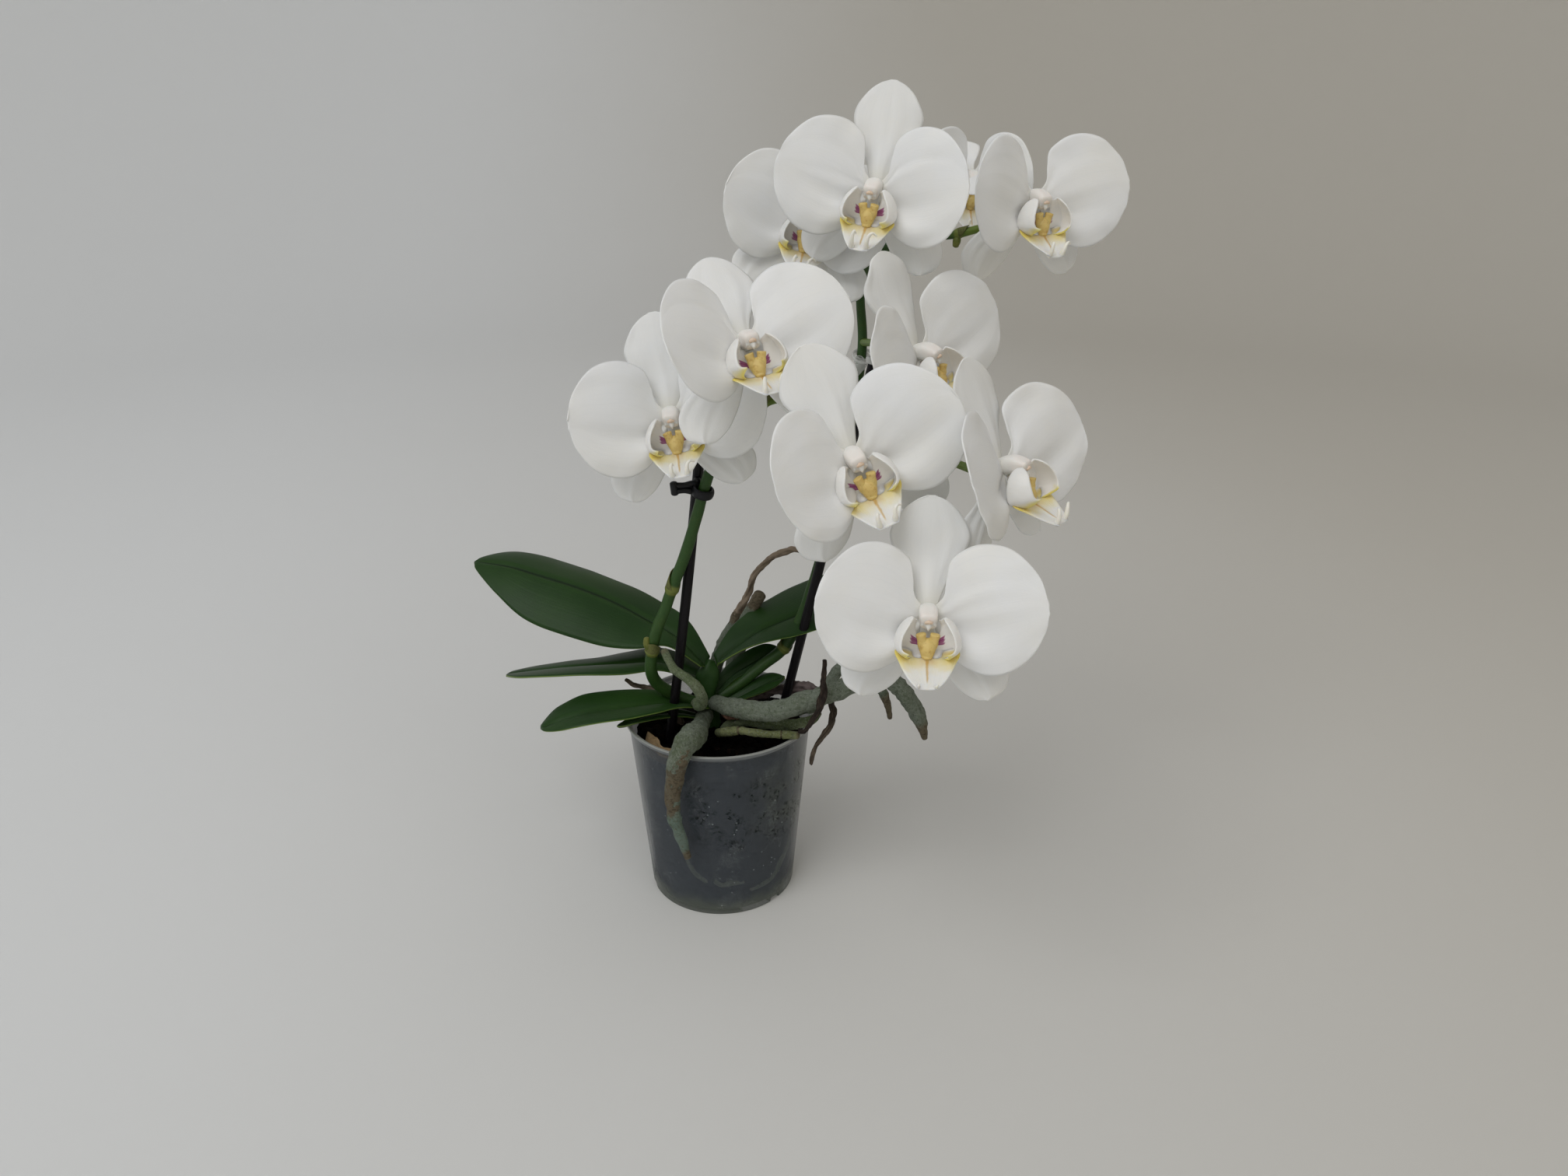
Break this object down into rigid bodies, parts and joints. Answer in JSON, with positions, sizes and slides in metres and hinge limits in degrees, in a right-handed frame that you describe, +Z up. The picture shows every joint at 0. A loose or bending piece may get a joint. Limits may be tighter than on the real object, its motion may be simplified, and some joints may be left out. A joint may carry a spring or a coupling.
{
  "type": "potted moth orchid",
  "caption": "Moth orchid in a grow pot: two staked arching stems of white blooms with yellow lips over a fan of thick leaves and silvery aerial roots.",
  "frame": {"origin": "centre of the pot's foot, on the surface it stands on", "axes": "+Z up along the pot, -Y towards the side that the blooms face, +X towards the side the stems lean to"},
  "size_m": [0.2957, 0.2526, 0.3696],
  "materials": {
    "petal": "satin",
    "lip": "satin",
    "leaf": "gloss",
    "crown": "satin",
    "stem": "satin",
    "stake": "satin",
    "clip_black": "satin",
    "clip_clear": "gloss",
    "root": "matte",
    "root_green": "matte",
    "root_dry": "matte",
    "pot": "satin",
    "bark": "matte"
  },
  "bodies": {
    "root": {"bloom_01": "petal", "bloom_02": "petal", "bloom_03": "petal", "bloom_04": "petal", "bloom_05": "petal", "bloom_06": "petal", "bloom_07": "petal", "bloom_08": "petal", "bloom_09": "petal", "bloom_10": "petal", "lip_01": "lip", "lip_02": "lip", "lip_03": "lip", "lip_04": "lip", "lip_05": "lip", "lip_06": "lip", "lip_07": "lip", "lip_08": "lip", "lip_09": "lip", "lip_10": "lip", "crown": "crown", "stake_left": "stake", "stake_right": "stake", "stem_left": "stem", "stem_right": "stem", "clip_black": "clip_black", "clip_clear": "clip_clear", "leaf_left_upper": "leaf", "leaf_right_upper": "leaf", "leaf_left_lower": "leaf", "leaf_left_bottom": "leaf", "leaf_right_small": "leaf", "leaf_right_stub": "leaf", "leaf_left_stub": "leaf", "root_front": "root", "root_right_thick": "root", "root_right_thin": "root", "root_right_low": "root_green", "root_green_jointed": "root_green", "root_curl": "root_green", "root_silver_up": "root", "root_silver_arch": "root", "root_dry_arch": "root_dry", "root_dry_left": "root_dry", "root_dry_right": "root_dry", "root_dry_hanging": "root_dry", "root_dead_stub": "root_dry", "stem_old_stump": "root_dry", "sheath_dry": "root_dry", "pot": "pot", "bark": "bark"}
  },
  "joints": []
}
